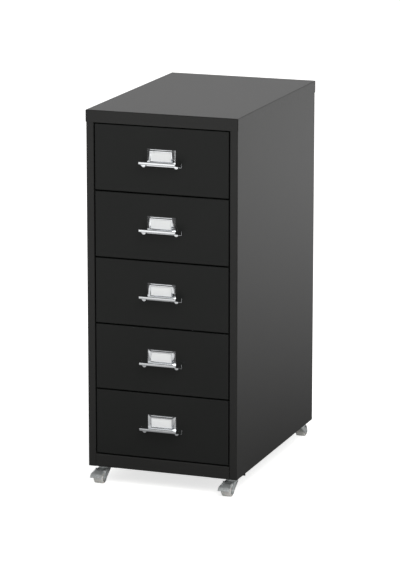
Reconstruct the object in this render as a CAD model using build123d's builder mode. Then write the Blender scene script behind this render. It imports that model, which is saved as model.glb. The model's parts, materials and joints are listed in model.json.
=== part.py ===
"""Narrow five-drawer steel cabinet on four swivel casters.

Units are millimetres.  +Z is up, the drawers open towards -Y, and the origin
lies on the floor under the middle of the cabinet's overall box.
Every sheet-metal piece is drawn as the outer line of its folded section, with
its wall laid on the inner side of that line.
"""

import os
from math import cos, radians, sin

from build123d import *

# ---------------------------------------------------------------- shell
cabinet_width = 280.0  # across the lid
cabinet_depth = 430.0  # across the lid
body_height = 640.0  # lower edge of the sides to the top of the lid
caster_height = 32.0  # floor to the lower edge of the sides
sheet = 0.8  # wall of the shell and of the drawer fronts
bend = 1.6  # outside radius of a fold
lid_skirt = 21.5  # height of the lid's folded edge
lid_fit = 0.1  # gap between the lid's folded edge and the panels inside it
stile_face = 14.1  # front strip folded from each side panel
stile_return = 14.0  # strip folded back from the stile's inner edge
rear_flange = 13.0  # strip folded in at the back of a side panel
top_flange = 13.0  # strip folded in under the lid
rail_height = 23.5  # front rail folded up from the bottom panel
rail_return = 10.0  # strip folded back from the rail's top edge
pan_flange = 14.0  # strips folded up from the bottom panel's other edges
seam = 0.15  # open line between the rail and each stile

# ---------------------------------------------------------------- drawers
drawer_count = 5
drawer_gap = 2.0  # between one drawer front and the next
drawer_side_gap = 1.8  # between a drawer front and a stile
front_fold = 14.0  # depth of a drawer front's folded edges
front_bend = 1.3  # outside radius of those folds
box_sheet = 0.7  # wall of the drawer box
box_bend = 1.3
box_side_gap = 8.0  # from the stile's inner edge to the box wall
box_floor_rise = 6.0  # box floor above the lower edge of the drawer front
box_wall = 91.0  # box wall, floor to the underside of its flange
box_rear_gap = 25.8  # box's back to the runners' rear ends
box_flange = 6.2  # strip folded out from the top of the box wall
box_fold_gap = 0.4  # box flanges behind the front's folded edges
weld_flange = 12.0  # strips folded in behind the drawer front
drawer_travel = 300.0

# ---------------------------------------------------------------- runners
runner_sheet = 1.0
runner_bend = 1.6
runner_space = 8.0  # clear height inside the channel
runner_slack = 0.3  # box flange above the ledge it slides on
runner_wall_gap = 1.5  # ledge's inner edge to the box wall
runner_front_gap = 1.5  # behind the stile's folded strip
runner_rear_gap = 9.0  # runner's rear end to the side panel's rear flange
stop_height = 3.8  # tongue bent down from the channel's upper strip
stop_inset = 8.0  # tongue behind the runner's front end
tab_height = 4.0  # tab bent up from the box flange
tab_length = 8.0
stop_slack = 0.4  # left between tab and tongue at full travel
rear_stop_gap = 0.4  # box flange to the runner's rear tab

# ---------------------------------------------------------------- pull
pull_width = 75.0  # scoop at the drawer front
pull_bar_width = 68.0  # scoop at its front bar
pull_reach = 23.0  # drawer front to the front of the bar
pull_drop = 2.6  # top of the scoop below the middle of the drawer front
scoop_wall = 1.4
scoop_depth = 7.4  # scoop's back strip, top to lower edge
bar_height = 5.2
bar_depth = 3.4
bar_rise = 3.4  # top of the bar above the scoop
frame_width = 52.0  # label frame at the drawer front
frame_top = 20.3  # above the middle of the drawer front
frame_bottom = -6.0
frame_rim_width = 41.0  # raised rim
frame_rim_top = 16.9
frame_rim_bottom = -2.4
frame_rise = 2.6  # rim above the drawer front
frame_back = 0.8  # wall behind the card
rim_wall = 1.5  # rim, seen from the front
card_width = 39.4
card_thickness = 0.4
card_play = 0.2  # around the card in its slot
card_top = 18.2  # above the middle of the drawer front
boss_spacing = 60.0
boss_radius = 3.7
boss_length = 7.5
pull_screw_radius = 1.95
pull_screw_length = 6.6  # under the head
pull_screw_head_radius = 3.6
pull_screw_head_height = 1.9
screw_play = 0.05  # radial, in the hole that the thread holds
hole_play = 0.3  # radial, in the hole that the screw passes
hole_past_screw = 0.4  # depth of the pull's holes beyond the screws
screw_point = 0.7  # chamfer at a screw's end
head_crown = 0.6  # flat top of a domed head, as a share of its radius
head_side = 0.4  # straight side of a domed head, as a share of its height
bar_corner = 1.5  # rounding along the bar
bar_end_round = 1.0  # rounding at its ends
scoop_lip = 0.2  # wing left under the scoop's front

# ---------------------------------------------------------------- back screws
shell_screw_radius = 1.7
shell_screw_length = 7.0  # under the head
shell_screw_head_radius = 3.3
shell_screw_head_height = 1.7
back_edge_gap = 0.5  # back panel's edges inside the side panels' faces
back_screw_inset = 77.0  # end screws of each column from the body's ends

# ---------------------------------------------------------------- casters
swivel_inset_x = 20.0  # swivel axis from the lid's side edge
swivel_inset_y = 27.0  # swivel axis from the lid's front or back edge
caster_trail = 20.0  # swivel axis to the wheel's axle
wheel_radius = 10.0
wheel_width = 17.6
wheel_edge = 1.8  # rounding of the tread's edges
wheel_recess = 1.4  # depth of the hollow in each side
wheel_rim = 2.2  # tread's wall around the hollow
hub_radius = 3.4
axle_radius = 1.6
axle_head_radius = 2.9
axle_head_height = 1.0
running_play = 0.05  # radial, for what turns on a pin
fork_sheet = 1.2
fork_bend = 1.8
fork_side_gap = 0.4  # between wheel and cheek
fork_boss_radius = 6.0  # cheek's end around the axle
crown_gap = 2.6  # between wheel and crown
crown_back = 9.7  # crown behind the swivel axis
crown_front = 18.2  # crown ahead of the swivel axis, without a brake
stem_radius = 4.0
stem_head_radius = 5.6
stem_head_height = 1.3
stem_cup_radius = 9.2
stem_cup_height = 2.7
stem_neck_radius = 6.6  # bearing cup, at the plate
stud_chamfer = 0.8
edge_break = 0.4  # small chamfers of the stem's head and the wheel's hollow
stem_seat_gap = 0.1  # axial, on each side of the crown
stem_above_plate = 8.0
plate_size = 48.0
plate_sheet = 2.0
plate_bend = 2.4
plate_lip = 6.4  # stiffening strip folded down, from the plate's top
plate_inset_x = 3.0  # plate's edge from the side panel's face
plate_inset_y = 7.0  # plate's edge from the front or back face
bush_radius = 6.4
bush_rise = 5.0  # nut bush above the bottom panel
bush_play = 0.1  # radial, in the bottom panel

# ---------------------------------------------------------------- brake levers
lever_pivot_ahead = 14.0  # lever pivot ahead of the swivel axis
lever_pivot_rise = 2.4  # lever pivot above the top of the wheel
lever_slope = 5.0  # degrees down towards the toe, brake off
lever_sheet = 1.2
lever_side_gap = 0.3  # lever to cheek
lever_length = 24.0  # pivot to the toe's bend
lever_tail = 1.4  # behind the pivot
lever_bend = 5.0
toe_reach = 5.2  # toe ahead of its bend
toe_drop = 5.6
toe_width = 21.0
toe_start = 12.0  # where the toe widens, ahead of the pivot
lever_rim = 2.0  # height of the edges folded up
pivot_radius = 1.2
ear_radius = 2.6  # cheek around the lever's pivot

# ================================================================ derived places
pull_tip = cabinet_depth / 2 - sheet - lid_fit + pull_reach
lever_tip = cabinet_depth / 2 - swivel_inset_y + lever_pivot_ahead + lever_length + toe_reach
wheel_back = cabinet_depth / 2 - swivel_inset_y + caster_trail + wheel_radius
screw_back = cabinet_depth / 2 + shell_screw_head_height
centre_y = (max(pull_tip, lever_tip) - max(wheel_back, screw_back)) / 2

body_bottom = caster_height
lid_top = body_bottom + body_height
shell_top = lid_top - sheet
side_x = cabinet_width / 2 - sheet - lid_fit
face_y = centre_y - cabinet_depth / 2 + sheet + lid_fit
back_y = centre_y + cabinet_depth / 2 - sheet - lid_fit
rear_flange_y = back_y - sheet
open_x = side_x - stile_face
open_bottom = body_bottom + rail_height
open_top = lid_top - lid_skirt

front_height = (open_top - open_bottom - (drawer_count + 1) * drawer_gap) / drawer_count
drawer_pitch = front_height + drawer_gap
front_x = open_x - drawer_side_gap
wall_x = open_x - box_side_gap
box_front_y = face_y + sheet
flange_x = wall_x + box_flange

runner_x = side_x - sheet
ledge_x = wall_x + runner_wall_gap
runner_front_y = face_y + stile_return + runner_front_gap
runner_back_y = rear_flange_y - sheet - runner_rear_gap
box_back_y = runner_back_y - box_rear_gap
box_depth = box_back_y - box_front_y
tongue_y = runner_front_y + stop_inset
tab_y = tongue_y + runner_sheet + stop_slack + drawer_travel

plate_bottom = body_bottom - plate_sheet
wheel_top = 2 * wheel_radius
crown_bottom = wheel_top + crown_gap
crown_top = crown_bottom + fork_sheet
fork_inside = wheel_width / 2 + fork_side_gap
fork_outside = fork_inside + fork_sheet
swivel_x = cabinet_width / 2 - swivel_inset_x
swivel_dy = cabinet_depth / 2 - swivel_inset_y
lever_pivot_z = wheel_top + lever_pivot_rise

drawers = range(1, drawer_count + 1)


def drawer_bottom(number):
    """Height of the lower edge of a drawer front, counted from the top."""
    return open_bottom + drawer_gap + (drawer_count - number) * drawer_pitch


def drawer_middle(number):
    return drawer_bottom(number) + front_height / 2


def folded(points, wall, radius):
    """Section of a folded sheet, laid on the left of its outer line."""
    with BuildSketch(Plane.XY) as section:
        with BuildLine():
            outline = FilletPolyline(*points, radius=radius)
            offset(outline, amount=wall, side=Side.LEFT)
        make_face()
    return section.sketch


def save(piece, name):
    piece.label = name
    export_step(piece, f"parts/{name}.step")


# ================================================================ shell
def column_places(side):
    """Centres (x, z) of the back's screws into one side panel, side -1 or +1."""
    x = side * (runner_x - rear_flange / 2)
    low = body_bottom + back_screw_inset
    high = lid_top - back_screw_inset
    return [(x, low), (x, (low + high) / 2), (x, high)]


def lower_row_places():
    z = body_bottom + sheet + pan_flange / 2
    return [(-open_x / 2, z), (open_x / 2, z)]


def lid_row_places():
    z = shell_top - lid_skirt / 2
    return [(-open_x / 2, z), (open_x / 2, z)]


def back_drill(places, radius, y):
    """Pins that cut round holes through the sheet that lies at y."""
    with BuildPart() as pins:
        with BuildSketch(Plane.XZ.offset(-y)):
            with Locations(*places):
                Circle(radius)
        extrude(amount=2 * sheet, both=True)
    return pins.part


def top_panel():
    with BuildPart() as lid:
        with BuildSketch(Plane.XY.offset(open_top)):
            with Locations((0, centre_y)):
                RectangleRounded(cabinet_width, cabinet_depth, bend)
        extrude(amount=lid_skirt)
        fillet(lid.faces().sort_by(Axis.Z)[-1].edges(), radius=bend - 0.1)
        offset(amount=-sheet, openings=lid.faces().sort_by(Axis.Z)[0])
        hole_radius = shell_screw_radius + hole_play
        add(back_drill(lid_row_places(), hole_radius, back_y + lid_fit), mode=Mode.SUBTRACT)
    return lid.part


def side_panel():
    """Right-hand side with its stile, rear flange and top flange."""
    with BuildPart() as panel:
        with BuildSketch(Plane.XY.offset(body_bottom)):
            outline = [
                (open_x, face_y + stile_return),
                (open_x, face_y),
                (side_x, face_y),
                (side_x, rear_flange_y),
                (runner_x - rear_flange, rear_flange_y),
            ]
            add(folded(outline, sheet, bend))
        extrude(amount=shell_top - bend - body_bottom)
        with BuildSketch(Plane.XZ.offset(-rear_flange_y + bend)):
            fold = [
                (side_x, shell_top - 2 * bend),
                (side_x, shell_top),
                (side_x - top_flange, shell_top),
            ]
            add(folded(fold, sheet, bend))
        extrude(amount=rear_flange_y - bend - face_y - stile_return)
        hole_radius = shell_screw_radius + screw_play
        add(back_drill(column_places(1), hole_radius, rear_flange_y), mode=Mode.SUBTRACT)
    return panel.part


def back_panel():
    passing = column_places(-1) + column_places(1) + lower_row_places()
    panel_top = shell_top - bend
    panel_bottom = body_bottom + back_edge_gap
    with BuildPart() as panel:
        with BuildSketch(Plane.XZ.offset(-back_y)):
            with Locations((0, (panel_top + panel_bottom) / 2)):
                Rectangle(2 * (side_x - back_edge_gap), panel_top - panel_bottom)
        extrude(amount=sheet)
        add(back_drill(passing, shell_screw_radius + hole_play, back_y), mode=Mode.SUBTRACT)
        hole_radius = shell_screw_radius + screw_play
        add(back_drill(lid_row_places(), hole_radius, back_y), mode=Mode.SUBTRACT)
    return panel.part


def caster_places():
    """Swivel axes as (name, x, y, facing): facing is -1 in front and 1 behind."""
    return [
        ("front_left", -swivel_x, centre_y - swivel_dy, -1),
        ("front_right", swivel_x, centre_y - swivel_dy, -1),
        ("rear_left", -swivel_x, centre_y + swivel_dy, 1),
        ("rear_right", swivel_x, centre_y + swivel_dy, 1),
    ]


def bottom_panel():
    """Pan with the front rail folded up between the stiles."""
    pan_back_y = rear_flange_y - sheet
    pan_front_y = face_y + stile_return + seam
    with BuildPart() as pan:
        with BuildSketch(Plane.YZ):
            lengthways = [
                (face_y + rail_return, open_bottom),
                (face_y, open_bottom),
                (face_y, body_bottom),
                (pan_back_y, body_bottom),
                (pan_back_y, body_bottom + pan_flange),
            ]
            add(folded(lengthways, sheet, bend))
        extrude(amount=open_x - seam, both=True)
        with BuildSketch(Plane.XZ.offset(-pan_back_y + bend)):
            crossways = [
                (-runner_x, body_bottom + pan_flange),
                (-runner_x, body_bottom),
                (runner_x, body_bottom),
                (runner_x, body_bottom + pan_flange),
            ]
            add(folded(crossways, sheet, bend))
        extrude(amount=pan_back_y - bend - pan_front_y)
        with BuildSketch(Plane.XY.offset(body_bottom)):
            with Locations(*[(x, y) for _, x, y, _ in caster_places()]):
                Circle(bush_radius + bush_play)
        extrude(amount=2 * sheet, both=True, mode=Mode.SUBTRACT)
        hole_radius = shell_screw_radius + screw_play
        add(back_drill(lower_row_places(), hole_radius, pan_back_y), mode=Mode.SUBTRACT)
    return pan.part


def screw(place, radius, length, head_radius, head_height, along):
    """Domed screw: its head rests at place and its shank runs along Y, -1 or +1."""
    x, y, z = place
    with BuildPart() as fastener:
        with BuildSketch(Plane.XY.offset(z)):
            with BuildLine():
                Polyline(
                    (x, y - along * head_height),
                    (x + head_radius * head_crown, y - along * head_height),
                    (x + head_radius, y - along * head_height * head_side),
                    (x + head_radius, y),
                    (x + radius, y),
                    (x + radius, y + along * (length - screw_point)),
                    (x + radius - screw_point, y + along * length),
                    (x, y + along * length),
                    close=True,
                )
            make_face()
        revolve(axis=Axis((x, y, z), (0, 1, 0)))
    return fastener.part


def shell_screws():
    """All screws of the back, heads outwards."""
    lid_back = centre_y + cabinet_depth / 2
    on_panel = column_places(-1) + column_places(1) + lower_row_places()
    places = [(x, back_y, z) for x, z in on_panel]
    places += [(x, lid_back, z) for x, z in lid_row_places()]
    with BuildPart() as screws:
        for place in places:
            add(
                screw(
                    place,
                    shell_screw_radius,
                    shell_screw_length,
                    shell_screw_head_radius,
                    shell_screw_head_height,
                    along=-1,
                )
            )
    return screws.part


# ================================================================ runners
def runner(number):
    """Right-hand channel that carries one drawer."""
    ledge = drawer_bottom(number) + box_floor_rise + box_wall - runner_slack
    under = ledge - runner_sheet
    over = ledge + runner_space + runner_sheet
    with BuildPart() as channel:
        with BuildSketch(Plane.XZ.offset(-runner_back_y)):
            outline = [(ledge_x, under), (runner_x, under), (runner_x, over), (ledge_x, over)]
            add(folded(outline, runner_sheet, runner_bend))
        extrude(amount=runner_back_y - runner_front_y)
        # tongue bent down from the upper strip, and a tab bent up at the rear
        with BuildSketch(Plane.XZ.offset(-tongue_y - runner_sheet)):
            with Locations((ledge_x, over - runner_sheet / 2)):
                Rectangle(box_flange, stop_height + runner_sheet / 2, align=(Align.MIN, Align.MAX))
        extrude(amount=runner_sheet)
        rear_tab_y = box_back_y + rear_stop_gap
        with BuildSketch(Plane.XZ.offset(-rear_tab_y - runner_sheet)):
            with Locations((ledge_x, ledge - runner_sheet / 2)):
                Rectangle(box_flange, stop_height + runner_sheet / 2, align=(Align.MIN, Align.MIN))
        extrude(amount=runner_sheet)
    return channel.part


# ================================================================ drawers
def drawer_front(number):
    """Folded pan: the visible front and its four returned edges."""
    middle = drawer_middle(number)
    with BuildPart() as front:
        with BuildSketch(Plane.XZ.offset(-face_y - front_fold)):
            with Locations((0, middle)):
                Rectangle(2 * front_x, front_height)
        extrude(amount=front_fold)
        fillet(front.faces().sort_by(Axis.Y)[0].edges(), radius=front_bend)
        offset(amount=-sheet, openings=front.faces().sort_by(Axis.Y)[-1])
        with BuildSketch(Plane.XZ.offset(-face_y)):
            with Locations(*pull_screw_places(middle)):
                Circle(pull_screw_radius + hole_play)
        extrude(amount=2 * sheet, both=True, mode=Mode.SUBTRACT)
    return front.part


def drawer_box(number):
    """Open tray with flanges along its walls and strips welded to the front."""
    floor = drawer_bottom(number) + box_floor_rise
    rim = floor + box_wall
    with BuildPart() as box:
        with BuildSketch(Plane.XZ.offset(-box_back_y)):
            outline = [
                (-flange_x, rim),
                (-wall_x, rim),
                (-wall_x, floor),
                (wall_x, floor),
                (wall_x, rim),
                (flange_x, rim),
            ]
            add(folded(outline, box_sheet, box_bend))
        extrude(amount=box_depth)
        inside = wall_x - box_sheet / 2
        with BuildSketch(Plane.XZ.offset(-box_back_y)):
            with Locations((0, floor + box_sheet / 2)):
                Rectangle(2 * inside, box_wall, align=(Align.CENTER, Align.MIN))
        extrude(amount=box_sheet)
        with BuildSketch(Plane.XZ.offset(-box_front_y - box_sheet)):
            with Locations((0, floor + box_sheet / 2)):
                Rectangle(2 * inside, box_wall, align=(Align.CENTER, Align.MIN))
            with Locations((0, floor + box_sheet + weld_flange)):
                window = 2 * (wall_x - box_sheet - weld_flange)
                Rectangle(window, box_wall, align=(Align.CENTER, Align.MIN), mode=Mode.SUBTRACT)
        extrude(amount=box_sheet)
        # flanges stop behind the front's folded edges
        flange_front_y = face_y + front_fold + box_fold_gap
        with BuildSketch(Plane.XY.offset(rim)):
            with Locations((wall_x, flange_front_y), (-wall_x - box_side_gap, flange_front_y)):
                Rectangle(box_side_gap, front_fold + box_fold_gap, align=(Align.MIN, Align.MAX))
        extrude(amount=box_bend, both=True, mode=Mode.SUBTRACT)
        # tabs that meet the runners' tongues at full travel
        with BuildSketch(Plane.XY.offset(rim)):
            with Locations((flange_x, tab_y), (-flange_x + box_sheet, tab_y)):
                Rectangle(box_sheet, tab_length, align=(Align.MAX, Align.MIN))
        extrude(amount=box_sheet + tab_height)
    return box.part


# ================================================================ pull
def pull_screw_places(middle):
    boss_z = middle - pull_drop - scoop_wall - boss_radius
    return [(-boss_spacing / 2, boss_z), (boss_spacing / 2, boss_z)]


def scoop_wings(middle):
    """Tapering side walls of the scoop, cut off on a slope under the bar."""
    top = middle - pull_drop
    root = pull_width / 2
    end = pull_bar_width / 2
    bar_back = pull_reach - bar_depth / 2
    with BuildPart() as wings:
        with BuildSketch(Plane.XY.offset(top - scoop_depth)):
            for side in (-1, 1):
                with BuildLine():
                    Polyline(
                        (side * root, face_y),
                        (side * (root - scoop_wall), face_y),
                        (side * (end - scoop_wall), face_y - bar_back),
                        (side * end, face_y - bar_back),
                        close=True,
                    )
                make_face()
        extrude(amount=scoop_depth)
        low = top - scoop_depth
        high = top - scoop_wall - scoop_lip
        slope = Plane(origin=(0, face_y, low), x_dir=(1, 0, 0), z_dir=(0, high - low, bar_back))
        split(bisect_by=slope, keep=Keep.TOP)
    return wings.part


def pull_bar(middle):
    """Rounded bar along the front of the scoop."""
    bar_y = face_y - pull_reach + bar_depth / 2
    bar_z = middle - pull_drop + bar_rise - bar_height / 2
    with BuildPart() as bar:
        with BuildSketch(Plane.YZ):
            with Locations((bar_y, bar_z)):
                RectangleRounded(bar_depth, bar_height, bar_corner)
        extrude(amount=pull_bar_width / 2, both=True)
        fillet(bar.faces().filter_by(Axis.X).edges(), radius=bar_end_round)
    return bar.part


def label_frame(middle):
    """Bevelled frame with a raised rim and a card slot open at the top."""
    with BuildPart() as frame:
        base_height = frame_top - frame_bottom
        with BuildSketch(Plane.XZ.offset(-face_y)):
            with Locations((0, middle + frame_bottom)):
                Rectangle(frame_width, base_height, align=(Align.CENTER, Align.MIN))
        rim_height = frame_rim_top - frame_rim_bottom
        with BuildSketch(Plane.XZ.offset(-face_y + frame_rise)):
            with Locations((0, middle + frame_rim_bottom)):
                Rectangle(frame_rim_width, rim_height, align=(Align.CENTER, Align.MIN))
        loft(ruled=True)
        with BuildSketch(Plane.XZ.offset(-face_y + frame_back)):
            with Locations((0, middle + frame_rim_bottom + rim_wall)):
                Rectangle(
                    frame_rim_width - 2 * rim_wall,
                    rim_height - 2 * rim_wall,
                    align=(Align.CENTER, Align.MIN),
                )
        extrude(amount=frame_rise, mode=Mode.SUBTRACT)
        with BuildSketch(Plane.XZ.offset(-face_y + frame_back)):
            with Locations((0, middle + frame_rim_bottom + rim_wall - card_play)):
                Rectangle(card_width + 2 * card_play, base_height, align=(Align.CENTER, Align.MIN))
        extrude(amount=card_thickness + card_play, mode=Mode.SUBTRACT)
    return frame.part


def pull(number):
    """Cast pull: label frame above a finger scoop with a rounded front bar."""
    middle = drawer_middle(number)
    top = middle - pull_drop
    root = pull_width / 2
    end = pull_bar_width / 2
    with BuildPart() as handle:
        add(label_frame(middle))
        with BuildSketch(Plane.XY.offset(top - scoop_wall)):
            with BuildLine():
                shelf_front = face_y - pull_reach + bar_depth / 2
                Polyline(
                    (-root, face_y),
                    (-end, shelf_front),
                    (end, shelf_front),
                    (root, face_y),
                    close=True,
                )
            make_face()
        extrude(amount=scoop_wall)
        add(scoop_wings(middle))
        with BuildSketch(Plane.XZ.offset(-face_y)):
            with Locations((0, top)):
                Rectangle(pull_width, scoop_depth, align=(Align.CENTER, Align.MAX))
        extrude(amount=scoop_wall)
        with BuildSketch(Plane.XZ.offset(-face_y)):
            with Locations(*pull_screw_places(middle)):
                Circle(boss_radius)
        extrude(amount=boss_length)
        with BuildSketch(Plane.XZ.offset(-face_y)):
            with Locations(*pull_screw_places(middle)):
                Circle(pull_screw_radius + screw_play)
        extrude(amount=pull_screw_length - sheet + hole_past_screw, mode=Mode.SUBTRACT)
        add(pull_bar(middle))
    return handle.part


def label_card(number):
    middle = drawer_middle(number)
    bottom = middle + frame_rim_bottom + rim_wall
    with BuildPart() as card:
        with BuildSketch(Plane.XZ.offset(-face_y + frame_back + card_play / 2)):
            with Locations((0, bottom)):
                Rectangle(card_width, middle + card_top - bottom, align=(Align.CENTER, Align.MIN))
        extrude(amount=card_thickness)
    return card.part


def pull_screws(number):
    """Two screws driven from inside the drawer into the pull."""
    with BuildPart() as screws:
        for x, z in pull_screw_places(drawer_middle(number)):
            add(
                screw(
                    (x, face_y + sheet, z),
                    pull_screw_radius,
                    pull_screw_length,
                    pull_screw_head_radius,
                    pull_screw_head_height,
                    along=-1,
                )
            )
    return screws.part


# ================================================================ casters
def caster_plates():
    """Square corner plates with a nut bush and one folded stiffening strip."""
    lip_bottom = body_bottom - plate_lip
    with BuildPart() as plates:
        for _, x, y, facing in caster_places():
            side = 1 if x > 0 else -1
            outer_x = side * (side_x - plate_inset_x)
            outer_y = centre_y + facing * (cabinet_depth / 2 - sheet - lid_fit - plate_inset_y)
            if facing < 0:
                fold_y = outer_y + plate_size
                section = [(fold_y, lip_bottom), (fold_y, body_bottom), (outer_y, body_bottom)]
                plane = Plane.YZ.offset(outer_x - side * plate_size / 2)
            else:
                fold_x = outer_x - side * plate_size
                section = [(outer_x, body_bottom), (fold_x, body_bottom), (fold_x, lip_bottom)]
                section = section[::side]
                plane = Plane.XZ.offset(facing * plate_size / 2 - outer_y)
            with BuildSketch(plane):
                add(folded(section, plate_sheet, plate_bend))
            extrude(amount=plate_size / 2, both=True)
            with BuildSketch(Plane.XY.offset(plate_bottom)):
                with Locations((x, y)):
                    Circle(bush_radius)
            extrude(amount=plate_sheet + sheet + bush_rise)
            with BuildSketch(Plane.XY.offset(plate_bottom)):
                with Locations((x, y)):
                    Circle(stem_radius + screw_play)
            extrude(amount=plate_sheet + sheet + bush_rise, mode=Mode.SUBTRACT)
    return plates.part


def caster_stem(x, y):
    """Stem with the head under the crown, the bearing cup and the stud."""
    cup_bottom = crown_top + stem_seat_gap
    head_top = crown_bottom - stem_seat_gap
    stud_top = body_bottom + sheet + stem_above_plate
    with BuildPart() as stem:
        with BuildSketch(Plane.XZ.offset(-y)):
            with BuildLine():
                Polyline(
                    (x, head_top - stem_head_height),
                    (x + stem_head_radius - edge_break, head_top - stem_head_height),
                    (x + stem_head_radius, head_top - stem_head_height + edge_break),
                    (x + stem_head_radius, head_top),
                    (x + stem_radius, head_top),
                    (x + stem_radius, cup_bottom),
                    (x + stem_cup_radius, cup_bottom),
                    (x + stem_cup_radius, cup_bottom + stem_cup_height),
                    (x + stem_neck_radius, plate_bottom),
                    (x + stem_radius, plate_bottom),
                    (x + stem_radius, stud_top - stud_chamfer),
                    (x + stem_radius - stud_chamfer, stud_top),
                    (x, stud_top),
                    close=True,
                )
            make_face()
        revolve(axis=Axis((x, y, 0), (0, 0, 1)))
    return stem.part


def caster_fork(x, y, facing):
    """Stamped fork: two raked cheeks under a crown that turns on the stem."""
    axle_y = y + facing * caster_trail
    braked = facing < 0
    ear_y = y + facing * lever_pivot_ahead
    crown_reach = lever_pivot_ahead - ear_radius if braked else crown_front
    corner_z = crown_top - fork_sheet
    crown_end_y = y - facing * (crown_back - fork_sheet)
    crown_start_y = y + facing * (crown_reach - fork_sheet)
    past_fork = 2 * (caster_trail + fork_boss_radius + crown_back)
    with BuildPart() as fork:
        with BuildSketch(Plane.YZ.offset(x)):
            with Locations((axle_y, wheel_radius)):
                Circle(fork_boss_radius)
            with Locations((crown_end_y, corner_z), (crown_start_y, corner_z)):
                Circle(fork_sheet)
            make_hull()
        extrude(amount=fork_outside, both=True)
        fillet(fork.edges().filter_by(Axis.Y).group_by(Axis.Z)[-1], radius=fork_bend)
        with BuildSketch(Plane.YZ.offset(x)):
            with Locations((y, 0)):
                Rectangle(past_fork, crown_bottom, align=(Align.CENTER, Align.MIN))
        extrude(amount=fork_inside, both=True, mode=Mode.SUBTRACT)
        with BuildSketch(Plane.XY.offset(crown_bottom)):
            with Locations((x, y)):
                Circle(stem_radius + running_play)
        extrude(amount=fork_sheet, mode=Mode.SUBTRACT)
        if braked:
            for side in (-1, 1):
                with BuildSketch(Plane.YZ.offset(x + side * fork_inside)):
                    with Locations((axle_y, wheel_radius)):
                        Circle(fork_boss_radius)
                    with Locations((ear_y, lever_pivot_z)):
                        Circle(ear_radius)
                    with Locations((crown_start_y, corner_z - fork_sheet)):
                        Circle(fork_sheet)
                    make_hull()
                extrude(amount=side * fork_sheet)
            with BuildSketch(Plane.YZ.offset(x)):
                with Locations((ear_y, lever_pivot_z)):
                    Circle(pivot_radius + running_play)
            extrude(amount=fork_outside, both=True, mode=Mode.SUBTRACT)
        with BuildSketch(Plane.YZ.offset(x)):
            with Locations((axle_y, wheel_radius)):
                Circle(axle_radius)
        extrude(amount=fork_outside, both=True, mode=Mode.SUBTRACT)
    return fork.part


def caster_wheel(x, y, facing):
    axle_y = y + facing * caster_trail
    half = wheel_width / 2
    bore = axle_radius + running_play
    hollow_top = wheel_radius - wheel_rim
    tread_y = axle_y + wheel_radius
    with BuildPart() as wheel:
        with BuildSketch(Plane.XY.offset(wheel_radius)):
            with BuildLine():
                Polyline(
                    (x - half, axle_y + bore),
                    (x - half, axle_y + hub_radius),
                    (x - half + wheel_recess, axle_y + hub_radius + edge_break),
                    (x - half + wheel_recess, axle_y + hollow_top - edge_break),
                    (x - half, axle_y + hollow_top),
                    (x - half, tread_y - wheel_edge),
                )
                RadiusArc(
                    (x - half, tread_y - wheel_edge),
                    (x - half + wheel_edge, tread_y),
                    wheel_edge,
                )
                Line((x - half + wheel_edge, tread_y), (x + half - wheel_edge, tread_y))
                RadiusArc(
                    (x + half - wheel_edge, tread_y),
                    (x + half, tread_y - wheel_edge),
                    wheel_edge,
                )
                Polyline(
                    (x + half, tread_y - wheel_edge),
                    (x + half, axle_y + hollow_top),
                    (x + half - wheel_recess, axle_y + hollow_top - edge_break),
                    (x + half - wheel_recess, axle_y + hub_radius + edge_break),
                    (x + half, axle_y + hub_radius),
                    (x + half, axle_y + bore),
                    (x - half, axle_y + bore),
                )
            make_face()
        revolve(axis=Axis((x, axle_y, wheel_radius), (1, 0, 0)))
    return wheel.part


def caster_axle(x, y, facing):
    """Rivet through both cheeks, with a domed head on each side."""
    axle_y = y + facing * caster_trail
    head = axle_head_radius
    end = fork_outside + axle_head_height
    dome = axle_head_height * (1 - head_side)
    with BuildPart() as axle:
        with BuildSketch(Plane.XY.offset(wheel_radius)):
            with BuildLine():
                Polyline(
                    (x - end, axle_y),
                    (x - end, axle_y + head * head_crown),
                    (x - end + dome, axle_y + head),
                    (x - fork_outside, axle_y + head),
                    (x - fork_outside, axle_y + axle_radius),
                    (x + fork_outside, axle_y + axle_radius),
                    (x + fork_outside, axle_y + head),
                    (x + end - dome, axle_y + head),
                    (x + end, axle_y + head * head_crown),
                    (x + end, axle_y),
                    close=True,
                )
            make_face()
        revolve(axis=Axis((x, axle_y, wheel_radius), (1, 0, 0)))
    return axle.part


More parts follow.
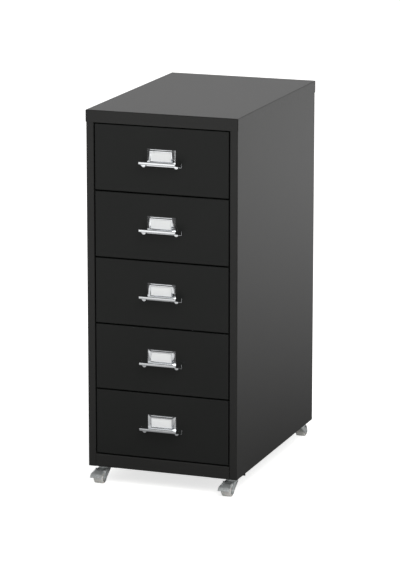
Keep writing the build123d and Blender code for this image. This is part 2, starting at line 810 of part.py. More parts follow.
def brake_lever(x, y):
    """Pressed pedal with folded edges, on two trunnions in the fork's ears."""
    pivot_y = y - lever_pivot_ahead
    slope = radians(lever_slope)
    half = fork_inside - lever_side_gap

    def along(distance, rise):
        """Point on the pedal: distance ahead of the pivot, rise above its underside."""
        height = rise - lever_sheet / 2
        ahead = distance * cos(slope) + height * sin(slope)
        up = -distance * sin(slope) + height * cos(slope)
        return (pivot_y - ahead, lever_pivot_z + up)

    knee = along(lever_length, lever_sheet)
    toe = (knee[0] - toe_reach, knee[1] - toe_drop)
    with BuildPart() as lever:
        with BuildSketch(Plane.YZ.offset(x)):
            add(folded([along(-lever_tail, lever_sheet), knee, toe], lever_sheet, lever_bend))
        extrude(amount=toe_width / 2, both=True)
        # narrow behind the toe, so that it swings between the cheeks
        with BuildSketch(Plane.XY):
            for side in (-1, 1):
                narrow_y = pivot_y - toe_start
                with BuildLine():
                    Polyline(
                        (x + side * half, pivot_y + 2 * lever_tail),
                        (x + side * half, narrow_y),
                        (x + side * toe_width, narrow_y - toe_width + half),
                        (x + side * toe_width, pivot_y + 2 * lever_tail),
                        close=True,
                    )
                make_face()
        extrude(amount=caster_height, mode=Mode.SUBTRACT)
        # edges folded up along the narrow part
        with BuildSketch(Plane.YZ.offset(x)):
            with BuildLine():
                Polyline(
                    along(-lever_tail, 0),
                    along(toe_start, 0),
                    along(lever_length - lever_bend, lever_sheet),
                    along(toe_start, lever_sheet + lever_rim),
                    along(-lever_tail, lever_sheet + lever_rim * 0.6),
                    close=True,
                )
            make_face()
        extrude(amount=half, both=True)
        with BuildSketch(Plane.YZ.offset(x)):
            with BuildLine():
                Polyline(
                    along(-2 * lever_tail, lever_sheet),
                    along(lever_length, lever_sheet),
                    along(lever_length, 4 * lever_rim),
                    along(-2 * lever_tail, 4 * lever_rim),
                    close=True,
                )
            make_face()
        extrude(amount=half - lever_sheet, both=True, mode=Mode.SUBTRACT)
        with BuildSketch(Plane.YZ.offset(x)):
            with Locations((pivot_y, lever_pivot_z)):
                Circle(pivot_radius)
        extrude(amount=fork_outside, both=True)
    return lever.part


# ================================================================ write the pieces
def main():
    os.makedirs("parts", exist_ok=True)
    save(top_panel(), "top_panel")
    right_side = side_panel()
    with BuildPart() as left_side:
        mirror(right_side, about=Plane.YZ)
    save(right_side, "side_panel_right")
    save(left_side.part, "side_panel_left")
    save(back_panel(), "back_panel")
    save(bottom_panel(), "bottom_panel")
    save(shell_screws(), "shell_screws")
    for number in drawers:
        right_runner = runner(number)
        with BuildPart() as left_runner:
            mirror(right_runner, about=Plane.YZ)
        save(right_runner, f"runner_right_{number}")
        save(left_runner.part, f"runner_left_{number}")
        save(drawer_front(number), f"drawer_front_{number}")
        save(drawer_box(number), f"drawer_box_{number}")
        save(pull(number), f"pull_{number}")
        save(label_card(number), f"label_card_{number}")
        save(pull_screws(number), f"pull_screws_{number}")
    save(caster_plates(), "caster_plates")
    for name, x, y, facing in caster_places():
        save(caster_stem(x, y), f"caster_stem_{name}")
        save(caster_fork(x, y, facing), f"caster_fork_{name}")
        save(caster_wheel(x, y, facing), f"caster_wheel_{name}")
        save(caster_axle(x, y, facing), f"caster_axle_{name}")
        if facing < 0:
            save(brake_lever(x, y), f"brake_lever_{name}")


main()
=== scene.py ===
import json
import math

import bpy
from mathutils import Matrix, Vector

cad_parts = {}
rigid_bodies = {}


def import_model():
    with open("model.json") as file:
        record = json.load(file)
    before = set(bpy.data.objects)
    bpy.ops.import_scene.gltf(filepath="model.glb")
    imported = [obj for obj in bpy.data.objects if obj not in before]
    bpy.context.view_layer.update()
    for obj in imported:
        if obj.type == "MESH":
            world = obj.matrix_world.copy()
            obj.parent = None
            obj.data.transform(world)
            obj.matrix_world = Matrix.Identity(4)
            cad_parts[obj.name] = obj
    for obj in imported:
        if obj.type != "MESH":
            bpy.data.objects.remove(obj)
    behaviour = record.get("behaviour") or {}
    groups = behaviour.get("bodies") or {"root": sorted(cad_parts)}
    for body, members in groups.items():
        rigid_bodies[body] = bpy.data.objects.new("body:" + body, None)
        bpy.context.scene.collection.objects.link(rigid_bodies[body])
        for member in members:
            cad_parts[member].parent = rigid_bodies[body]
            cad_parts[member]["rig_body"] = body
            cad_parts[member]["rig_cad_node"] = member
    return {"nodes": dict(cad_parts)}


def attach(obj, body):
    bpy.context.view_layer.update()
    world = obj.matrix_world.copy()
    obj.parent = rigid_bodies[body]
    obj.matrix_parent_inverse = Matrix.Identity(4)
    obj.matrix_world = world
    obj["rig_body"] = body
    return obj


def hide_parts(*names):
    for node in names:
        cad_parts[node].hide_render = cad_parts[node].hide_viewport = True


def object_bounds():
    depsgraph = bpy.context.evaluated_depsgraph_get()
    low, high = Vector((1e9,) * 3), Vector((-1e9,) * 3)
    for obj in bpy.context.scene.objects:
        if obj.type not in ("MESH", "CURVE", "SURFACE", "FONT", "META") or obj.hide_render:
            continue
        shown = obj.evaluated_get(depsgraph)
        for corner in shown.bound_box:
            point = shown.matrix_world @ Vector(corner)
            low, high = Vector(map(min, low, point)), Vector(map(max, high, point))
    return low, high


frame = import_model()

bl_info = {
    "name": "Drawer cabinet looks",
    "version": (1, 0, 0),
    "blender": (4, 5, 0),
    "location": "3D View > Sidebar > Cabinet",
    "description": "Finishes, small fasteners, light and camera for a steel drawer cabinet",
    "category": "Object",
}

NODES = frame["nodes"]
CAD_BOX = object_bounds()
MM = 0.001
CASTER_NAMES = ("front_left", "front_right", "rear_left", "rear_right")
BRAKED_NAMES = ("front_left", "front_right")
DRAWER_NUMBERS = range(1, 1 + sum(name.startswith("drawer_front_") for name in NODES))

MERGE_DISTANCE = 0.001 * MM
FLAT_ANGLE = math.radians(1)  # faces closer than this to one plane become one face
SHARP_ANGLE = math.radians(35)  # sharper edges of castings and pressings get rounded
ROUNDED_SMOOTH_ANGLE = math.radians(24)  # below the 26 degree edges of the pull's faces
SCREW_SMOOTH_ANGLE = math.radians(35)
ROUNDING_STEPS = 4
RECESS_TAPER = 0.55  # a recess arm's width at its bottom, as a share of that at the head


def linear(code):
    """Linear colour of an sRGB hex code."""
    shares = [int(code[i : i + 2], 16) / 255 for i in (0, 2, 4)]
    return [s / 12.92 if s <= 0.04045 else ((s + 0.055) / 1.055) ** 2.4 for s in shares]


def colour_property(name, description, code):
    return bpy.props.FloatVectorProperty(
        name=name,
        description=description,
        subtype="COLOR",
        size=3,
        min=0,
        max=1,
        default=linear(code),
    )


def length_property(name, description, default):
    return bpy.props.FloatProperty(
        name=name,
        description=description,
        default=default,
        min=0,
        precision=5,
        unit="LENGTH",
    )


def share_property(name, description, default):
    return bpy.props.FloatProperty(
        name=name, description=description, default=default, min=0, max=1, subtype="FACTOR"
    )


def angle_property(name, description, degrees):
    return bpy.props.FloatProperty(
        name=name, description=description, default=math.radians(degrees), unit="ROTATION"
    )


def power_property(name, description, watts):
    return bpy.props.FloatProperty(
        name=name, description=description, default=watts, min=0, unit="POWER"
    )


def place_property(name, description, default):
    return bpy.props.FloatVectorProperty(
        name=name,
        description=description,
        default=default,
        subtype="TRANSLATION",
        unit="LENGTH",
    )


# ---------------------------------------------------------------- settings
class PaintSettings(bpy.types.PropertyGroup):
    shell: colour_property("Shell", "Powder coat of the shell", "1B1B1A")
    drawers: colour_property("Drawers", "Powder coat of the drawers", "171817")
    plates: colour_property("Plates", "Paint of the corner plates", "161616")
    grain: length_property("Grain", "Width of one swell of the coat's orange peel", 1.6 * MM)
    roughness: share_property("Roughness", "Roughness of the coat", 0.42)
    shell_specular: share_property("Shell specular", "Specular level of the shell's coat", 0.31)
    drawer_specular: share_property("Drawer specular", "Specular level of the drawers' coat", 0.2)


class MetalSettings(bpy.types.PropertyGroup):
    chrome: colour_property("Chrome", "Chrome plate of the pulls", "E2E4E6")
    zinc: colour_property("Zinc", "Zinc plate of the casters", "CDD1D1")
    runners: colour_property("Runners", "Zinc coat of the runners", "AEB2B2")
    spangle: length_property("Spangle", "Width of one zinc crystal on the runners", 5 * MM)
    runner_roughness: share_property("Runner roughness", "Roughness of the runners", 0.38)
    screw_grain: length_property("Screw grain", "Width of one crystal on the screws", 1.2 * MM)
    screw_roughness: share_property("Screw roughness", "Roughness of the screws", 0.3)
    pressing_grain: length_property(
        "Pressing grain", "Width of one crystal on the casters' pressings", 2.5 * MM
    )
    pressing_roughness: share_property("Pressing roughness", "Roughness of the pressings", 0.45)
    pressing_bare: share_property(
        "Pressing bare", "Share of bare metal in the pressings' passivated film", 0.7
    )
    edge: length_property("Edge", "Rounding of cast and pressed edges", 0.3 * MM)
    recess_length: length_property("Recess length", "Length of a screw's cross recess", 3.6 * MM)
    recess_width: length_property("Recess width", "Width of each arm of the recess", 0.8 * MM)
    recess_depth: length_property("Recess depth", "Depth of the recess", 1.1 * MM)


class SmallPartSettings(bpy.types.PropertyGroup):
    card: colour_property("Card", "Label card", "F8F9F9")
    wheel: colour_property("Wheel", "Moulded caster wheel", "CBCAC7")
    fibre: length_property("Fibre", "Width of the card's fibre clumps", 0.5 * MM)
    mould_grain: length_property("Mould grain", "Width of the wheel's mottling", 3 * MM)


class StageSettings(bpy.types.PropertyGroup):
    azimuth: angle_property("Azimuth", "Turn of the camera round the cabinet", 19.90)
    elevation: angle_property("Elevation", "Tilt of the camera down to the cabinet", 13.01)
    camera_place: place_property(
        "Camera place", "Fitted to the cabinet's seven visible corners", (1.8788, -5.19885, 1.6041)
    )
    lens: bpy.props.FloatProperty(
        name="Lens", description="Focal length of the camera", default=199.24, unit="CAMERA"
    )
    room_light: share_property("Room light", "Strength of the even light from all round", 0.62)
    key_power: power_property("Key power", "Power of the large overhead panel", 46)
    key_place: place_property("Key place", "Place of the overhead panel", (1.5, -2.2, 2.4))
    key_side: length_property("Key side", "Side of the square overhead panel", 2)
    fill_power: power_property("Fill power", "Power of the panel on the right", 9)
    fill_place: place_property("Fill place", "Place of the panel on the right", (2.6, -0.6, 1.6))
    fill_side: length_property("Fill side", "Side of the square panel on the right", 1.6)
    floor: colour_property("Floor", "Colour of the pale floor", "F2F2F0")
    floor_size: length_property("Floor size", "Side of the square floor", 60)
    floor_white: share_property("Floor white", "Plain white added to the floor as seen", 0.7)
    # the sweep settings shape a painted glowing strip of floor, a painted reflection seen only in
    # polished parts
    sweep_turn: angle_property(
        "Sweep turn", "Turn of the lit strip of floor that polished parts mirror", 19.4
    )
    sweep_half: length_property("Sweep half width", "Half the width of the lit strip", 1.1)
    sweep_fade: length_property("Sweep fade", "Distance over which the strip's sides fade", 0.5)
    sweep_reach: length_property("Sweep reach", "Distance at which the strip is fully lit", 3)
    # painted shadow: the strip's glow is dimmed under the cabinet
    sweep_near: share_property("Sweep near", "Brightness of the strip under the cabinet", 0.12)
    sweep_far: bpy.props.FloatProperty(
        name="Sweep far",
        description="Brightness of the strip where fully lit, where 1 is white",
        default=1.4,
        min=0,
    )
    sweep_beside: share_property("Sweep beside", "Share of brightness left beside the strip", 0.04)
    ceiling: share_property("Ceiling", "Brightness of the ceiling in polished parts", 0.1)
    ceiling_start: share_property(
        "Ceiling start", "Sine of the height angle at which the ceiling starts to dim", 0.42
    )
    ceiling_full: share_property(
        "Ceiling full", "Sine of the height angle at which it is fully dim", 0.7
    )


# ---------------------------------------------------------------- node trees
def add_node(tree, kind, inputs=None, **settings):
    """Adds one node: an input given as a socket is linked, any other is set."""
    made = tree.nodes.new(kind)
    for key, value in settings.items():
        setattr(made, key, value)
    for key, value in (inputs or {}).items():
        if isinstance(value, bpy.types.NodeSocket):
            tree.links.new(value, made.inputs[key])
        else:
            made.inputs[key].default_value = value
    return made


def start_material(name):
    """A material with an empty tree, and its Object coordinates."""
    material = bpy.data.materials.new(name)
    material.use_nodes = True
    tree = material.node_tree
    tree.nodes.clear()
    place = add_node(tree, "ShaderNodeTexCoord").outputs["Object"]
    return material, tree, place


def shaded(colour, factor):
    """A colour made lighter or darker, with its alpha."""
    return [min(1, c * factor) for c in colour] + [1]


def powder_coat(name, colour, settings, specular):
    """Polyester powder, sprayed on steel sheet and baked.

    It levels into a faint orange peel, so highlights spread softly and wobble.
    """
    material, tree, place = start_material(name)
    peel = add_node(
        tree,
        "ShaderNodeTexNoise",
        {"Vector": place, "Scale": 1 / settings.grain, "Detail": 3, "Roughness": 0.5},
    )
    hand_width = 110 * MM  # over which the film's thickness drifts
    drift = add_node(
        tree, "ShaderNodeTexNoise", {"Vector": place, "Scale": 1 / hand_width, "Detail": 2}
    )
    tint = add_node(
        tree,
        "ShaderNodeMix",
        {0: drift.outputs[0], 6: shaded(colour, 0.88), 7: shaded(colour, 1.14)},
        data_type="RGBA",
    )
    swing = 0.05  # of the roughness, between the swells
    gloss = add_node(
        tree,
        "ShaderNodeMapRange",
        {
            "Value": peel.outputs[0],
            "From Min": 0.3,
            "From Max": 0.7,
            "To Min": settings.roughness - swing,
            "To Max": settings.roughness + swing,
        },
    )
    swell = add_node(
        tree,
        "ShaderNodeBump",
        {"Strength": 0.25, "Distance": 0.03 * MM, "Height": peel.outputs[0]},
    )
    surface = add_node(
        tree,
        "ShaderNodeBsdfPrincipled",
        {
            "Base Color": tint.outputs[2],
            "Roughness": gloss.outputs[0],
            "Normal": swell.outputs[0],
            "Specular IOR Level": specular,
        },
    )
    add_node(tree, "ShaderNodeOutputMaterial", {"Surface": surface.outputs[0]})
    return material


def chrome_plate(name, colour):
    """Nickel and chrome plated on a polished zinc casting.

    The casting's skin is not quite flat, so mirrored edges waver.
    """
    material, tree, place = start_material(name)
    ripple = 7 * MM  # width of one waver of the skin
    waver = add_node(
        tree, "ShaderNodeTexNoise", {"Vector": place, "Scale": 1 / ripple, "Detail": 1}
    )
    scratch = 0.3 * MM  # width of a polishing line, drawn coarser than real so that it shows
    # the lines are drawn out along the pull
    along = add_node(tree, "ShaderNodeMapping", {"Vector": place, "Scale": (0.08, 1, 1)})
    lines = add_node(
        tree,
        "ShaderNodeTexNoise",
        {"Vector": along.outputs[0], "Scale": 1 / scratch, "Detail": 2},
    )
    gloss = add_node(
        tree,
        "ShaderNodeMapRange",
        {
            "Value": lines.outputs[0],
            "From Min": 0.3,
            "From Max": 0.7,
            "To Min": 0.07,
            "To Max": 0.15,
        },
    )
    skin = add_node(
        tree,
        "ShaderNodeBump",
        {"Strength": 0.3, "Distance": 0.06 * MM, "Height": waver.outputs[0]},
    )
    surface = add_node(
        tree,
        "ShaderNodeBsdfPrincipled",
        {
            "Base Color": list(colour) + [1],
            "Metallic": 1,
            "Roughness": gloss.outputs[0],
            "Normal": skin.outputs[0],
        },
    )
    add_node(tree, "ShaderNodeOutputMaterial", {"Surface": surface.outputs[0]})
    return material


def zinc_plate(name, colour, cell, roughness, bare=1):
    """Zinc on pressed or rolled steel: small crystals that differ in brightness.

    The bare share is bright metal, and the rest scatters in a passivated film.
    """
    material, tree, place = start_material(name)
    crystals = add_node(
        tree, "ShaderNodeTexVoronoi", {"Vector": place, "Scale": 1 / cell, "Randomness": 1}
    )
    draw_mark = 0.6 * MM  # left by the press or the rolls
    drag = add_node(
        tree, "ShaderNodeTexNoise", {"Vector": place, "Scale": 1 / draw_mark, "Detail": 3}
    )
    patch = add_node(tree, "ShaderNodeSeparateColor", {"Color": crystals.outputs["Color"]})
    tint = add_node(
        tree,
        "ShaderNodeMix",
        {0: patch.outputs[0], 6: shaded(colour, 0.86), 7: shaded(colour, 1.08)},
        data_type="RGBA",
    )
    gloss = add_node(
        tree,
        "ShaderNodeMapRange",
        {"Value": patch.outputs[1], "To Min": roughness - 0.06, "To Max": roughness + 0.08},
    )
    press = add_node(
        tree,
        "ShaderNodeBump",
        {"Strength": 0.2, "Distance": 0.02 * MM, "Height": drag.outputs[0]},
    )
    surface = add_node(
        tree,
        "ShaderNodeBsdfPrincipled",
        {
            "Base Color": tint.outputs[2],
            "Metallic": bare,
            "Roughness": gloss.outputs[0],
            "Normal": press.outputs[0],
        },
    )
    add_node(tree, "ShaderNodeOutputMaterial", {"Surface": surface.outputs[0]})
    return material


def label_card(name, colour, fibre):
    """Uncoated white card, rolled from short fibres: matt, with faint clumps."""
    material, tree, place = start_material(name)
    clumps = add_node(
        tree, "ShaderNodeTexNoise", {"Vector": place, "Scale": 1 / fibre, "Detail": 4}
    )
    tint = add_node(
        tree,
        "ShaderNodeMix",
        {0: clumps.outputs[0], 6: shaded(colour, 0.95), 7: shaded(colour, 1.03)},
        data_type="RGBA",
    )
    felt = add_node(
        tree,
        "ShaderNodeBump",
        {"Strength": 0.3, "Distance": 0.02 * MM, "Height": clumps.outputs[0]},
    )
    surface = add_node(
        tree,
        "ShaderNodeBsdfPrincipled",
        {"Base Color": tint.outputs[2], "Roughness": 0.85, "Normal": felt.outputs[0]},
    )
    add_node(tree, "ShaderNodeOutputMaterial", {"Surface": surface.outputs[0]})
    return material


def moulded_nylon(name, colour, grain):
    """Injection-moulded nylon: waxy, slightly mottled, scuffed in fine specks."""
    material, tree, place = start_material(name)
    mottle = add_node(
        tree, "ShaderNodeTexNoise", {"Vector": place, "Scale": 1 / grain, "Detail": 2}
    )
    scuff_width = 0.5 * MM
    specks = add_node(
        tree, "ShaderNodeTexNoise", {"Vector": place, "Scale": 1 / scuff_width, "Detail": 3}
    )
    tint = add_node(
        tree,
        "ShaderNodeMix",
        {0: mottle.outputs[0], 6: shaded(colour, 0.9), 7: shaded(colour, 1.08)},
        data_type="RGBA",
    )
    gloss = add_node(
        tree,
        "ShaderNodeMapRange",
        {
            "Value": specks.outputs[0],
            "From Min": 0.3,
            "From Max": 0.7,
            "To Min": 0.4,
            "To Max": 0.55,
        },
    )
    scuff = add_node(
        tree,
        "ShaderNodeBump",
        {"Strength": 0.2, "Distance": 0.03 * MM, "Height": specks.outputs[0]},
    )
    surface = add_node(
        tree,
        "ShaderNodeBsdfPrincipled",
        {
            "Base Color": tint.outputs[2],
            "Roughness": gloss.outputs[0],
            "Normal": scuff.outputs[0],
            "IOR": 1.53,
            "Subsurface Weight": 0.05,
            "Subsurface Scale": 1 * MM,
        },
    )
    add_node(tree, "ShaderNodeOutputMaterial", {"Surface": surface.outputs[0]})
    return material


# ---------------------------------------------------------------- shapes
def finish_node(names, material):
    """Gives CAD nodes their finish; their meshes stay as they are."""
    for name in names:
        NODES[name].data.materials.clear()
        NODES[name].data.materials.append(material)


def select_only(piece):
    bpy.ops.object.select_all(action="DESELECT")
    piece.select_set(True)
    bpy.context.view_layer.objects.active = piece


def merged_copy(node, name):
    """A copy of a CAD node as one closed mesh, free of the node's body."""
    select_only(NODES[node])
    bpy.ops.object.duplicate()
    piece = bpy.context.view_layer.objects.active
    bpy.ops.object.parent_clear(type="CLEAR_KEEP_TRANSFORM")
    del piece["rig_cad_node"]
    del piece["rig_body"]
    piece.name = name
    bpy.ops.object.mode_set(mode="EDIT")
    bpy.ops.mesh.select_all(action="SELECT")
    bpy.ops.mesh.remove_doubles(threshold=MERGE_DISTANCE)
    bpy.ops.mesh.dissolve_limited(angle_limit=FLAT_ANGLE)
    bpy.ops.object.mode_set(mode="OBJECT")
    return piece


def rounded_copy(node, name, radius, material):
    """A copy of a CAD node with its sharp edges rounded, which stands for the node."""
    piece = merged_copy(node, name)
    bevel = piece.modifiers.new("Round", "BEVEL")
    bevel.width = radius
    bevel.segments = ROUNDING_STEPS
    bevel.limit_method = "ANGLE"
    bevel.angle_limit = SHARP_ANGLE
    bpy.ops.object.modifier_apply(modifier=bevel.name)
    bpy.ops.object.shade_smooth_by_angle(angle=ROUNDED_SMOOTH_ANGLE)
    piece.data.materials.clear()
    piece.data.materials.append(material)
    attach(piece, NODES[node]["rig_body"])
    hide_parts(node)
    return piece


def cross_cutter(centre_x, head_y, centre_z, settings):
    """Two tapering bars that cut a cross recess into a head that faces +Y."""
    bars = []
    for turned in (False, True):
        bpy.ops.object.select_all(action="DESELECT")
        bpy.ops.mesh.primitive_cube_add(size=1, location=(0, 0, 0))
        bar = bpy.context.view_layer.objects.active
        bpy.ops.object.mode_set(mode="EDIT")
        bpy.ops.mesh.select_all(action="SELECT")
        long_way = (settings.recess_length, 2 * settings.recess_depth, settings.recess_width)
        cross_way = (settings.recess_width, 2 * settings.recess_depth, settings.recess_length)
        bpy.ops.transform.resize(value=cross_way if turned else long_way)
        bpy.ops.mesh.select_all(action="DESELECT")
        bpy.ops.object.mode_set(mode="OBJECT")
        for face in bar.data.polygons:
            face.select = face.normal.y < -0.5
        bpy.ops.object.mode_set(mode="EDIT")
        bpy.ops.mesh.select_mode(type="FACE")
        bpy.ops.transform.resize(value=(RECESS_TAPER, 1, RECESS_TAPER))
        bpy.ops.mesh.select_all(action="SELECT")
        bpy.ops.transform.translate(value=(centre_x, head_y, centre_z))
        bpy.ops.object.mode_set(mode="OBJECT")
        bars.append(bar)
    return bars


def cut_screws(node, name, settings, material):
    """Each screw of a CAD node as its own piece with a cross recess in its head."""
    before = set(bpy.data.objects)
    merged_copy(node, name)
    bpy.ops.object.mode_set(mode="EDIT")
    bpy.ops.mesh.select_all(action="SELECT")
    bpy.ops.mesh.separate(type="LOOSE")
    bpy.ops.object.mode_set(mode="OBJECT")
    screws = [o for o in bpy.data.objects if o not in before]
    for number, screw in enumerate(screws, 1):
        corners = [Vector(v.co) for v in screw.data.vertices]
        centre_x = (min(c.x for c in corners) + max(c.x for c in corners)) / 2
        centre_z = (min(c.z for c in corners) + max(c.z for c in corners)) / 2
        head_y = max(c.y for c in corners)
        for bar in cross_cutter(centre_x, head_y, centre_z, settings):
            select_only(screw)
            cut = screw.modifiers.new("Recess", "BOOLEAN")
            cut.operation = "DIFFERENCE"
            cut.solver = "EXACT"
            cut.object = bar
            bpy.ops.object.modifier_apply(modifier=cut.name)
            bpy.data.objects.remove(bar)
        select_only(screw)
        bpy.ops.object.shade_smooth_by_angle(angle=SCREW_SMOOTH_ANGLE)
        screw.name = f"{name}_{number}"
        screw.data.materials.clear()
        screw.data.materials.append(material)
        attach(screw, NODES[node]["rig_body"])
        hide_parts(node)


# ---------------------------------------------------------------- operators
class CABINET_OT_shell(bpy.types.Operator):
    """Powder-coats the lid, sides, back and bottom"""

    bl_idname = "cabinet.shell"
    bl_label = "Finish shell"

    def execute(self, context):
        paint = context.scene.cabinet_paint
        coat = powder_coat("black_powder_coat_shell", paint.shell, paint, paint.shell_specular)
        names = ["top_panel", "side_panel_left", "side_panel_right", "back_panel", "bottom_panel"]
        finish_node(names, coat)
        return {"FINISHED"}


class CABINET_OT_drawers(bpy.types.Operator):
    """Powder-coats the drawer fronts and boxes"""

    bl_idname = "cabinet.drawers"
    bl_label = "Finish drawers"

    def execute(self, context):
        paint = context.scene.cabinet_paint
        coat = powder_coat("black_powder_coat_drawers", paint.drawers, paint, paint.drawer_specular)
        for number in DRAWER_NUMBERS:
            finish_node([f"drawer_front_{number}", f"drawer_box_{number}"], coat)
        return {"FINISHED"}


class CABINET_OT_runners(bpy.types.Operator):
    """Gives the runners their bright zinc coat"""

    bl_idname = "cabinet.runners"
    bl_label = "Finish runners"

    def execute(self, context):
        metal = context.scene.cabinet_metal
        coat = zinc_plate(
            "zinc_coated_runner_strip", metal.runners, metal.spangle, metal.runner_roughness
        )
        for number in DRAWER_NUMBERS:
            finish_node([f"runner_left_{number}", f"runner_right_{number}"], coat)
        return {"FINISHED"}


class CABINET_OT_pulls(bpy.types.Operator):
    """Models the chromed pulls with the rounded edges of a polished casting"""

    bl_idname = "cabinet.pulls"
    bl_label = "Model pulls"

    def execute(self, context):
        metal = context.scene.cabinet_metal
        chrome = chrome_plate("chrome_plated_casting", metal.chrome)
        for number in DRAWER_NUMBERS:
            rounded_copy(f"pull_{number}", f"chromed_pull_{number}", metal.edge, chrome)
        return {"FINISHED"}


class CABINET_OT_cards(bpy.types.Operator):
    """Gives the label cards their paper"""

    bl_idname = "cabinet.cards"
    bl_label = "Finish label cards"

    def execute(self, context):
        small = context.scene.cabinet_small_parts
        paper = label_card("white_label_card", small.card, small.fibre)
        finish_node([f"label_card_{number}" for number in DRAWER_NUMBERS], paper)
        return {"FINISHED"}


class CABINET_OT_screws(bpy.types.Operator):
    """Cuts cross recesses into the heads of the back's and the pulls' screws"""

    bl_idname = "cabinet.screws"
    bl_label = "Model screws"

    def execute(self, context):
        metal = context.scene.cabinet_metal
        zinc = zinc_plate(
            "zinc_plated_screw", metal.zinc, metal.screw_grain, metal.screw_roughness
        )
        cut_screws("shell_screws", "shell_screw", metal, zinc)
        for number in DRAWER_NUMBERS:
            cut_screws(f"pull_screws_{number}", f"pull_{number}_screw", metal, zinc)
        return {"FINISHED"}


class CABINET_OT_plates(bpy.types.Operator):
    """Paints the corner plates under the bottom"""

    bl_idname = "cabinet.plates"
    bl_label = "Finish corner plates"

    def execute(self, context):
        paint = context.scene.cabinet_paint
        coat = powder_coat("black_plate_paint", paint.plates, paint, paint.drawer_specular)
        finish_node(["caster_plates"], coat)
        return {"FINISHED"}


class CABINET_OT_casters(bpy.types.Operator):
    """Models forks and brake levers with pressed edges, and finishes stems and axles"""

    bl_idname = "cabinet.casters"
    bl_label = "Model casters"

    def execute(self, context):
        metal = context.scene.cabinet_metal
        zinc = zinc_plate(
            "zinc_plated_pressing",
            metal.zinc,
            metal.pressing_grain,
            metal.pressing_roughness,
            metal.pressing_bare,
        )
        for name in CASTER_NAMES:
            rounded_copy(f"caster_fork_{name}", f"pressed_fork_{name}", metal.edge, zinc)
            finish_node([f"caster_stem_{name}", f"caster_axle_{name}"], zinc)
        for name in BRAKED_NAMES:
            rounded_copy(f"brake_lever_{name}", f"pressed_lever_{name}", metal.edge, zinc)
        return {"FINISHED"}


class CABINET_OT_wheels(bpy.types.Operator):
    """Gives the wheels their moulded nylon"""

    bl_idname = "cabinet.wheels"
    bl_label = "Finish wheels"

    def execute(self, context):
        small = context.scene.cabinet_small_parts
        nylon = moulded_nylon("moulded_grey_nylon", small.wheel, small.mould_grain)
        finish_node([f"caster_wheel_{name}" for name in CASTER_NAMES], nylon)
        return {"FINISHED"}


# ---------------------------------------------------------------- stage
def mirrored_floor(tree, place, stage):
    """Brightness of the floor in polished parts, fitted to the photograph's reflections.

    It is a painted glowing strip that no lamp lights, dimmed under the cabinet as a painted shadow,
    and it fades beside it.
    """
    turned = add_node(
        tree, "ShaderNodeMapping", {"Vector": place, "Rotation": (0, 0, stage.sweep_turn)}
    )
    across = add_node(tree, "ShaderNodeSeparateXYZ", {"Vector": turned.outputs[0]})
    aside = add_node(tree, "ShaderNodeMath", {0: across.outputs[0]}, operation="ABSOLUTE")
    strip = add_node(
        tree,
        "ShaderNodeMapRange",
        {
            "Value": aside.outputs[0],
            "From Min": stage.sweep_half,
            "From Max": stage.sweep_half + stage.sweep_fade,
            "To Min": 1,
            "To Max": stage.sweep_beside,
        },
    )
    away = add_node(tree, "ShaderNodeVectorMath", {0: place}, operation="LENGTH")
    # painted shadow and painted glow: dim under the cabinet, growing with distance to a glow
    # brighter than white
    glowing = add_node(
        tree,
        "ShaderNodeMapRange",
        {
            "Value": away.outputs["Value"],
            "From Min": 0,
            "From Max": stage.sweep_reach,
            "To Min": stage.sweep_near,
            "To Max": stage.sweep_far,
        },
    )
    glow = add_node(
        tree, "ShaderNodeMath", {0: strip.outputs[0], 1: glowing.outputs[0]}, operation="MULTIPLY"
    )
    return glow.outputs[0]


def lay_floor(stage):
    """A pale matt floor: white to the camera, shadowed, and in polished parts a painted glowing
    strip with painted shadow under the cabinet.
    """
    bpy.ops.object.select_all(action="DESELECT")
    bpy.ops.mesh.primitive_plane_add(size=stage.floor_size, location=(0, 0, 0))
    floor = bpy.context.view_layer.objects.active
    floor.name = "pale_floor"
    material, tree, place = start_material("pale_floor_paint")
    path = add_node(tree, "ShaderNodeLightPath")
    paint = add_node(tree, "ShaderNodeBsdfDiffuse", {"Color": list(stage.floor) + [1]})
    added = add_node(
        tree,
        "ShaderNodeMath",
        {0: path.outputs["Is Camera Ray"], 1: stage.floor_white},
        operation="MULTIPLY",
    )
    white = add_node(
        tree, "ShaderNodeEmission", {"Color": (1, 1, 1, 1), "Strength": added.outputs[0]}
    )
    seen = add_node(tree, "ShaderNodeAddShader", {0: paint.outputs[0], 1: white.outputs[0]})
    # polished parts mirror this painted glow, with its painted shadow, in place of the lit floor
    mirrored = add_node(
        tree,
        "ShaderNodeEmission",
        {"Color": (1, 1, 1, 1), "Strength": mirrored_floor(tree, place, stage)},
    )
    surface = add_node(
        tree,
        "ShaderNodeMixShader",
        {0: path.outputs["Is Glossy Ray"], 1: seen.outputs[0], 2: mirrored.outputs[0]},
    )
    add_node(tree, "ShaderNodeOutputMaterial", {"Surface": surface.outputs[0]})
    floor.data.materials.append(material)


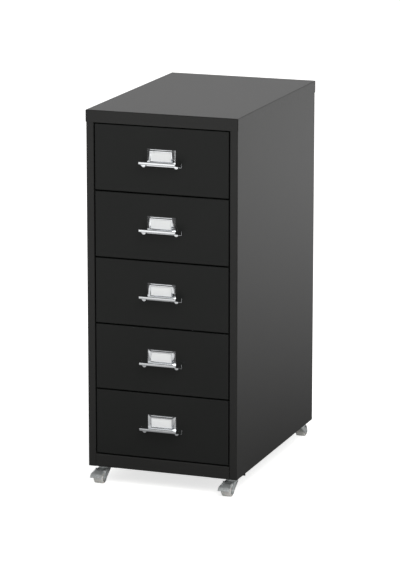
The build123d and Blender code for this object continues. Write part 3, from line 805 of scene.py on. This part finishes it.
def light_room(stage):
    """Even light all round: white to the camera, with a dim ceiling in polished parts."""
    world = bpy.data.worlds.new("studio")
    world.use_nodes = True
    tree = world.node_tree
    tree.nodes.clear()
    path = add_node(tree, "ShaderNodeLightPath")
    direction = add_node(tree, "ShaderNodeTexCoord").outputs["Generated"]
    height = add_node(tree, "ShaderNodeSeparateXYZ", {"Vector": direction})
    dimmed = add_node(
        tree,
        "ShaderNodeMapRange",
        {
            "Value": height.outputs[2],
            "From Min": stage.ceiling_start,
            "From Max": stage.ceiling_full,
            "To Min": 1,
            "To Max": stage.ceiling,
        },
    )
    room, backdrop, mirrored = [
        add_node(tree, "ShaderNodeBackground", {"Color": (1, 1, 1, 1), "Strength": strength})
        for strength in (stage.room_light, 1, dimmed.outputs[0])
    ]
    unseen = add_node(
        tree,
        "ShaderNodeMixShader",
        {0: path.outputs["Is Glossy Ray"], 1: room.outputs[0], 2: mirrored.outputs[0]},
    )
    surface = add_node(
        tree,
        "ShaderNodeMixShader",
        {0: path.outputs["Is Camera Ray"], 1: unseen.outputs[0], 2: backdrop.outputs[0]},
    )
    add_node(tree, "ShaderNodeOutputWorld", {"Surface": surface.outputs[0]})
    bpy.context.scene.world = world


def hang_panel(name, place, side, power):
    """A square soft light that faces the middle of the cabinet."""
    middle = (CAD_BOX[0] + CAD_BOX[1]) / 2
    facing = (Vector(middle) - Vector(place)).to_track_quat("-Z", "Y").to_euler()
    bpy.ops.object.select_all(action="DESELECT")
    bpy.ops.object.light_add(type="AREA", location=place, rotation=facing)
    panel = bpy.context.view_layer.objects.active
    panel.name = name
    panel.data.size = side
    panel.data.energy = power


def set_camera(stage):
    """The camera of the photograph, which looks along the azimuth and elevation."""
    away = Vector(
        (
            math.sin(stage.azimuth) * math.cos(stage.elevation),
            -math.cos(stage.azimuth) * math.cos(stage.elevation),
            math.sin(stage.elevation),
        )
    )
    facing = (-away).to_track_quat("-Z", "Y").to_euler()
    bpy.ops.object.select_all(action="DESELECT")
    bpy.ops.object.camera_add(location=stage.camera_place, rotation=facing)
    camera = bpy.context.view_layer.objects.active
    camera.name = "photo_camera"
    camera.data.lens = stage.lens
    bpy.context.scene.camera = camera


class CABINET_OT_stage(bpy.types.Operator):
    """Sets the pale floor, the soft light and the camera"""

    bl_idname = "cabinet.stage"
    bl_label = "Set stage"

    def execute(self, context):
        stage = context.scene.cabinet_stage
        lay_floor(stage)
        light_room(stage)
        hang_panel("overhead_panel", stage.key_place, stage.key_side, stage.key_power)
        hang_panel("right_panel", stage.fill_place, stage.fill_side, stage.fill_power)
        set_camera(stage)
        context.scene.view_settings.view_transform = "Standard"
        return {"FINISHED"}


# ---------------------------------------------------------------- panel and registration
OPERATORS = (
    CABINET_OT_shell,
    CABINET_OT_drawers,
    CABINET_OT_runners,
    CABINET_OT_pulls,
    CABINET_OT_cards,
    CABINET_OT_screws,
    CABINET_OT_plates,
    CABINET_OT_casters,
    CABINET_OT_wheels,
    CABINET_OT_stage,
)


class CABINET_PT_looks(bpy.types.Panel):
    """Lists the cabinet's operators"""

    bl_idname = "CABINET_PT_looks"
    bl_label = "Cabinet"
    bl_space_type = "VIEW_3D"
    bl_region_type = "UI"
    bl_category = "Cabinet"

    def draw(self, context):
        for operator in OPERATORS:
            self.layout.operator(operator.bl_idname)


SETTINGS = {
    "cabinet_paint": PaintSettings,
    "cabinet_metal": MetalSettings,
    "cabinet_small_parts": SmallPartSettings,
    "cabinet_stage": StageSettings,
}


def register():
    for group in SETTINGS.values():
        bpy.utils.register_class(group)
    for name, group in SETTINGS.items():
        setattr(bpy.types.Scene, name, bpy.props.PointerProperty(type=group))
    for operator in OPERATORS:
        bpy.utils.register_class(operator)
    bpy.utils.register_class(CABINET_PT_looks)


def unregister():
    bpy.utils.unregister_class(CABINET_PT_looks)
    for operator in reversed(OPERATORS):
        bpy.utils.unregister_class(operator)
    for name, group in SETTINGS.items():
        delattr(bpy.types.Scene, name)
        bpy.utils.unregister_class(group)


def main():
    register()
    bpy.ops.cabinet.shell()
    bpy.ops.cabinet.drawers()
    bpy.ops.cabinet.runners()
    bpy.ops.cabinet.pulls()
    bpy.ops.cabinet.cards()
    bpy.ops.cabinet.screws()
    bpy.ops.cabinet.plates()
    bpy.ops.cabinet.casters()
    bpy.ops.cabinet.wheels()
    bpy.ops.cabinet.stage()


if __name__ == "__main__":
    main()
